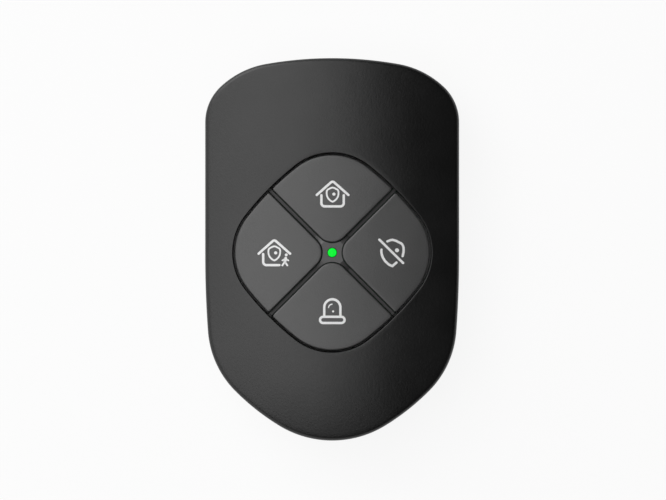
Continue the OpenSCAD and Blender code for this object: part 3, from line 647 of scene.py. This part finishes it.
def key_piece(name, turn):
    """A key cap with a rolled edge that follows the arch, down to its stop lip."""
    middle_share = 0.56
    centre = np.array([PAD_REACH * middle_share, 0.0])
    spin = np.array([[cos(turn), sin(turn)], [-sin(turn), cos(turn)]])
    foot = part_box(name)[0].z / MM
    angles = even_angles(key_distance, centre, KEY_SEARCH, KEY_POINTS)

    def edge(inset, outset=0.0):
        flat = traced(lambda x, y: key_distance(x, y, outset) + inset, centre, KEY_SEARCH, angles)
        return flat @ spin + (0, PAD_Y)

    lip = edge(0.0, LIP_W + WINDOW_GAP / 2)
    rings = [ring(lip, foot), ring(lip, foot + LIP_T), ring(edge(0.0), foot + LIP_T)]
    for a in quarter(KEY_EDGE_STEPS):
        points = edge(KEY_EDGE_R * (1 - cos(a)))
        rings.append(ring(points, face_z(*points.T) - KEY_SINK - KEY_EDGE_R * (1 - sin(a))))
    outer, middle = edge(KEY_EDGE_R), centre @ spin + (0, PAD_Y)
    for share in np.linspace(0, 1, KEY_TOP_RINGS + 1)[1:-1]:
        points = outer + (middle - outer) * share
        rings.append(ring(points, face_z(*points.T) - KEY_SINK))
    top = (*middle, face_z(*middle) - KEY_SINK)
    return dressed(loft(name + "_cap", rings, top_centre=top), KEYS, name, "key_grey", name)


def light_lens():
    """The light pipe: a flange under the key frame and a rod with a softly rounded rim."""
    low, high = pipe_low.z / MM, pipe_high.z / MM
    flange_r, frame_z = (pipe_high.x - pipe_low.x) / 2 / MM, frame_low.z / MM
    profile = [(flange_r, low), (flange_r, frame_z), (LIGHT_R, frame_z)]
    for a in quarter(LENS_EDGE_STEPS):
        profile.append((LIGHT_R - LENS_EDGE_R * (1 - cos(a)), high - LENS_EDGE_R * (1 - sin(a))))
    rings = [ring(circle(r, (0, PAD_Y)), z) for r, z in profile]
    lens = loft("light_lens", rings, top_centre=(0, PAD_Y, high))
    return dressed(lens, GLOW, "root", "light_green", "light_pipe")


# The printed signs, drawn as strokes round the middle of each sign, in millimetres and degrees
CAP_ANGLES = (15, 30, 45, 60, 75, 85)
CURVE_STEPS = 4
EAVES = (2.35, -0.1)
RIDGE_Y, RIDGE_R, RIDGE_TURN = 1.5, 0.36, 42
HOUSE_WALL = (1.66, -0.15)
HOUSE_CORNER_Y, HOUSE_CORNER_R = -1.3, 0.5
SMALL_SHIELD_W, SMALL_SHIELD_H, SMALL_SHIELD_Y = 1.75, 2.1, -0.05
SMALL_SHIELD_DOT = (0.2, 0.02, 0.24)
BASE_END = (0.75, -1.8)
HEAD = (1.78, -0.28, 0.22)
SHOULDERS, HIPS = (1.7, -0.76), (1.58, -1.28)
ARMS = [(1.2, -1.1), (1.66, -0.85), (2.1, -1.1)]
FEET = ((1.2, -1.84), (1.93, -1.84))
TRUNK_W, LEG_W, ARM_W = 0.42, 0.27, 0.24
BIG_SHIELD_W, BIG_SHIELD_H = 3.3, 3.9
BIG_SHIELD_DOT = (0.68, 0.4, 0.3)
CROWN_SIDE_POINTS, TIP_SIDE_POINTS = 8, 6
SLASH = [(-1.95, 1.98), (1.58, -1.49)]
CROWN_SIDE_START = [(-0.75, 1.72), (-0.3, 1.9)]
TIP_SIDE_START, TIP_SIDE_END = (0.6, -1.44), (-1.64, 0.48)
DOME_Y, DOME_R, DOME_FOOT_Y = 0.7, 1.2, -0.69
BASE_X, BASE_Y, BASE_R = 1.36, -1.16, 0.46
GLINT_Y, GLINT_R, GLINT_W = 0.62, 0.56, 0.17
BULB_DOT = (0.12, 0.1, 0.16)


def arc(x, y, r, start, end, steps):
    return [(x + r * cos(a), y + r * sin(a)) for a in np.linspace(start, end, steps + 1)]


def mirrored(path):
    return [(-x, y) for x, y in path[::-1]]


def resampled(path, closed):
    """The same path with no step longer than STROKE_STEP."""
    path = np.array(path + path[:1] if closed else path, dtype=float)
    points = []
    for here, there in zip(path[:-1], path[1:]):
        steps = max(1, math.ceil(np.linalg.norm(there - here) / STROKE_STEP))
        points += [here + (there - here) * k / steps for k in range(steps)]
    return np.array(points if closed else points + [path[-1]])


def stroke(path, width, closed):
    """Left and right edges of a stroke with mitred bends and round ends."""
    points = resampled(path, closed)
    ahead = np.roll(points, -1, axis=0) - points
    if not closed:
        ahead[-1] = ahead[-2]
    ahead /= np.linalg.norm(ahead, axis=1)[:, None]
    behind = np.roll(ahead, 1, axis=0)
    if not closed:
        behind[0] = ahead[0]
    across = ahead + behind
    across = np.stack([-across[:, 1], across[:, 0]], axis=1) / np.linalg.norm(across, axis=1)[:, None]
    reach = 1 / (across[:, 1] * ahead[:, 0] - across[:, 0] * ahead[:, 1])
    half = np.full(len(points), width / 2) * reach
    if not closed:
        r = width / 2
        caps = np.array([(sin(a), cos(a)) for a in CAP_ANGLES])
        start, end = points[0] - ahead[0] * r * caps[::-1, :1], points[-1] + ahead[-1] * r * caps[:, :1]
        points = np.vstack([start, points, end])
        across = np.vstack([[across[0]] * len(caps), across, [across[-1]] * len(caps)])
        half = np.concatenate([r * caps[::-1, 1], half, r * caps[:, 1]])
    return points + across * half[:, None], points - across * half[:, None]


def sign_piece(name, key, at, strokes, dots):
    """A thin layer of ink on a key's arch, from strokes (path, width, closed) and dots (x, y, radius)."""
    points, faces = [], []

    def add_layer(flat):
        z = face_z(*flat.T) - KEY_SINK
        first = len(points)
        points.extend(ring(flat, z + INK))
        points.extend(ring(flat, z - INK))
        return first

    for path, width, closed in strokes:
        left, right = stroke(path, width, closed)
        count = len(left)
        first = add_layer(np.vstack([left, right]) + at)
        top_l, top_r, low_l, low_r = first, first + count, first + 2 * count, first + 3 * count
        for k in range(count if closed else count - 1):
            n = (k + 1) % count
            faces.append((top_l + k, top_r + k, top_r + n, top_l + n))
            faces.append((low_l + n, low_r + n, low_r + k, low_l + k))
            faces.append((top_l + n, low_l + n, low_l + k, top_l + k))
            faces.append((top_r + k, low_r + k, low_r + n, top_r + n))
        if not closed:
            faces.append((top_l, low_l, low_r, top_r))
            k = count - 1
            faces.append((top_r + k, low_r + k, low_l + k, top_l + k))
    for x, y, r in dots:
        flat = np.array(arc(x, y, r, 0, 360 - 360 / DOT_POINTS, DOT_POINTS - 1)) + at
        first = add_layer(flat)
        count = len(flat)
        faces.append(tuple(range(first, first + count)))
        faces.append(tuple(range(first + 2 * count - 1, first + count - 1, -1)))
        for k in range(count):
            n = (k + 1) % count
            faces.append((first + n, first + k, first + count + k, first + count + n))
    return dressed(mesh_piece(name, points, faces), INK_WHITE, key, "key_grey")


def curve_through(path):
    """A smooth curve through the points of a path (Catmull-Rom), which keeps its ends."""
    points = np.array([path[0], *path, path[-1]], dtype=float)
    curve = []
    for a, b, c, d in zip(points, points[1:], points[2:], points[3:]):
        square, cube = 2 * a - 5 * b + 4 * c - d, 3 * b - a - 3 * c + d
        for t in np.arange(CURVE_STEPS) / CURVE_STEPS:
            curve.append(tuple(b + 0.5 * t * (c - a + t * (square + t * cube))))
    return curve + [tuple(path[-1])]


def shield_path(w, h):
    """Right half of a plain shield from the middle of its top to its point."""
    shape = ((0, 0.5), (0.14, 0.47), (0.28, 0.41), (0.4, 0.36), (0.47, 0.29), (0.5, 0.2), (0.5, 0.04),
             (0.46, -0.12), (0.38, -0.25), (0.27, -0.36), (0.14, -0.45), (0, -0.5))
    return [(w * x, h * y) for x, y in shape]


def roof_stroke():
    ridge = arc(0, RIDGE_Y, RIDGE_R, 90 + RIDGE_TURN, 90 - RIDGE_TURN, steps=8)
    return [(-EAVES[0], EAVES[1])] + ridge + [EAVES], INK_W, False


def left_wall():
    """The house's left wall with its corner, down to the start of the base line."""
    x, top = HOUSE_WALL
    return [(-x, top)] + arc(HOUSE_CORNER_R - x, HOUSE_CORNER_Y, HOUSE_CORNER_R, 180, 270, steps=8)


def small_shield():
    half = curve_through(shield_path(SMALL_SHIELD_W, SMALL_SHIELD_H))
    return [(x, y + SMALL_SHIELD_Y) for x, y in half + mirrored(half)[1:-1]], INK_THIN, True


def home_sign():
    """A house with a shield in it."""
    walls = (left_wall() + mirrored(left_wall()), INK_W, False)
    strokes = [roof_stroke(), walls, small_shield()]
    sign_piece("home_sign", "home_key", at=(0.06, 8.23), strokes=strokes, dots=[SMALL_SHIELD_DOT])


def away_sign():
    """The same house with a figure that walks out of it."""
    walls = (left_wall() + [BASE_END], INK_W, False)
    figure = [([SHOULDERS, HIPS], TRUNK_W, False)]
    figure += [([HIPS, foot], LEG_W, False) for foot in FEET]
    figure.append((ARMS, ARM_W, False))
    strokes = [roof_stroke(), walls, small_shield()] + figure
    sign_piece("away_sign", "away_key", at=(-8.61, -0.5), strokes=strokes, dots=[SMALL_SHIELD_DOT, HEAD])


def disarm_sign():
    """A shield that is open where a slash crosses it."""
    half = shield_path(BIG_SHIELD_W, BIG_SHIELD_H)
    crown_side = CROWN_SIDE_START + curve_through(half[:CROWN_SIDE_POINTS])
    tip_side = [TIP_SIDE_START] + curve_through(mirrored(half)[:TIP_SIDE_POINTS] + [TIP_SIDE_END])
    strokes = [(path, INK_W, False) for path in (SLASH, crown_side, tip_side)]
    sign_piece("disarm_sign", "disarm_key", at=(8.97, -0.49), strokes=strokes, dots=[BIG_SHIELD_DOT])


def alarm_sign():
    """A siren: a dome with a glint on a round-ended base."""
    dome = [(-DOME_R, DOME_FOOT_Y)] + arc(0, DOME_Y, DOME_R, 180, 0, steps=18) + [(DOME_R, DOME_FOOT_Y)]
    base = arc(BASE_X, BASE_Y, BASE_R, -90, 90, steps=10)
    base += arc(-BASE_X, BASE_Y, BASE_R, 90, 270, steps=10)
    glint = arc(0, GLINT_Y, GLINT_R, 95, 175, steps=6)
    strokes = [(dome, INK_W, False), (base, INK_W, True), (glint, GLINT_W, False)]
    sign_piece("alarm_sign", "alarm_key", at=(0.02, -9.28), strokes=strokes, dots=[BULB_DOT])


dress_cad_nodes()
front_shell()
rear_shell()
light_lens()
home_sign()
away_sign()
disarm_sign()
alarm_sign()
for key_name, key_turn in (("disarm_key", 0), ("home_key", 90), ("away_key", 180), ("alarm_key", 270)):
    key_piece(key_name, key_turn)


# Stage, lights and camera
PHOTO_W, PHOTO_H = 666, 500
BODY_PX = 253.55
MIDDLE_PX = (332.17, 249.65)
LENS, SENSOR = 200.0, 36.0
IN_SCALE_Z = 8.0
FLOOR_REACH, FLOOR_Z = 3000.0, -0.02
FLOOR_WHITE = 0.9
WORLD_LEVEL = 0.04
SKY_LEAN, SKY_PALE_BELOW, SKY_DARK_ABOVE = 0.4, 0.2, 0.55


def photo_camera():
    """A long lens straight above the face, in scale with the photograph at IN_SCALE_Z."""
    per_px = BODY_W / BODY_PX
    data = bpy.data.cameras.new("camera")
    data.lens, data.sensor_width = LENS, SENSOR
    data.clip_end = 10.0
    camera = placed("camera", data)
    x = (PHOTO_W / 2 - MIDDLE_PX[0]) * per_px
    y = (MIDDLE_PX[1] - PHOTO_H / 2) * per_px
    camera.location = Vector((x, y, IN_SCALE_Z + PHOTO_W * per_px * LENS / SENSOR)) * MM
    bpy.context.scene.camera = camera


def soft_box(name, place_mm, aim_mm, size_mm, strength):
    """A rectangular panel, as bright as a white surface of this strength."""
    data = bpy.data.lights.new(name, "AREA")
    data.shape = "RECTANGLE"
    data.size, data.size_y = size_mm[0] * MM, size_mm[1] * MM
    data.energy = strength * data.size * data.size_y * math.pi
    lamp = placed(name, data)
    lamp.location = Vector(place_mm) * MM
    lamp.rotation_mode = "QUATERNION"
    lamp.rotation_quaternion = (Vector(aim_mm) - Vector(place_mm)).to_track_quat("-Z", "Y")


def floor():
    """White paper just under the rear face, which keeps a share of the shadow."""
    data = bpy.data.meshes.new("floor")
    ways = ((-1, -1), (1, -1), (1, 1), (-1, 1))
    corners = [Vector((x * FLOOR_REACH, y * FLOOR_REACH, FLOOR_Z)) * MM for x, y in ways]
    data.from_pydata(corners, [], [(0, 1, 2, 3)])
    made = finish("floor_paper")
    seen = made.ray("Is Camera Ray") + made.ray("Is Glossy Ray") + made.ray("Is Transmission Ray")
    paper = made.node("ShaderNodeBsdfDiffuse", None, {"Color": grey(0.9)})
    white = made.node("ShaderNodeEmission", None, {"Color": grey(1.0), "Strength": 1.0})
    share = made.maths("MINIMUM", seen, 1.0) * FLOOR_WHITE
    shader = made.node("ShaderNodeMixShader", None, {0: share, 1: paper, 2: white})
    made.node("ShaderNodeOutputMaterial", None, {0: shader})
    data.materials.append(made.owner)
    placed("floor", data)


def studio_world():
    """White for the camera and low down in mirrors, dark overhead in mirrors, and dim as light."""
    world = bpy.data.worlds.new("studio")
    bpy.context.scene.world = world
    made = Network(world)
    height = made.node("ShaderNodeVectorMath", {"operation": "DOT_PRODUCT"},
                       {0: made.node("ShaderNodeTexCoord"), 1: (SKY_LEAN, 0.0, 1.0)}, output="Value")
    pale = made.node("ShaderNodeMapRange", {"interpolation_type": "SMOOTHSTEP"},
                     {0: height, 1: SKY_PALE_BELOW, 2: SKY_DARK_ABOVE, 3: 1.0, 4: 0.0})
    mirrored_ray = made.ray("Is Glossy Ray") + made.ray("Is Transmission Ray")
    seen = made.maths("MINIMUM", made.ray("Is Camera Ray") + mirrored_ray * pale, 1.0)
    dim = made.node("ShaderNodeBackground", None, {"Color": grey(1.0), "Strength": WORLD_LEVEL})
    white = made.node("ShaderNodeBackground", None, {"Color": grey(1.0), "Strength": 1.0})
    shader = made.node("ShaderNodeMixShader", None, {0: seen, 1: dim, 2: white})
    made.node("ShaderNodeOutputWorld", None, {0: shader})


photo_camera()
floor()
studio_world()
soft_box("main_soft_box", place_mm=(-300, 180, 700), aim_mm=(-300, 180, 0), size_mm=(760, 1040),
         strength=2.12)
soft_box("corner_soft_box", place_mm=(-460, 460, 340), aim_mm=(0, 0, 0), size_mm=(560, 560),
         strength=2.6)

bpy.context.scene.view_settings.view_transform = "Standard"
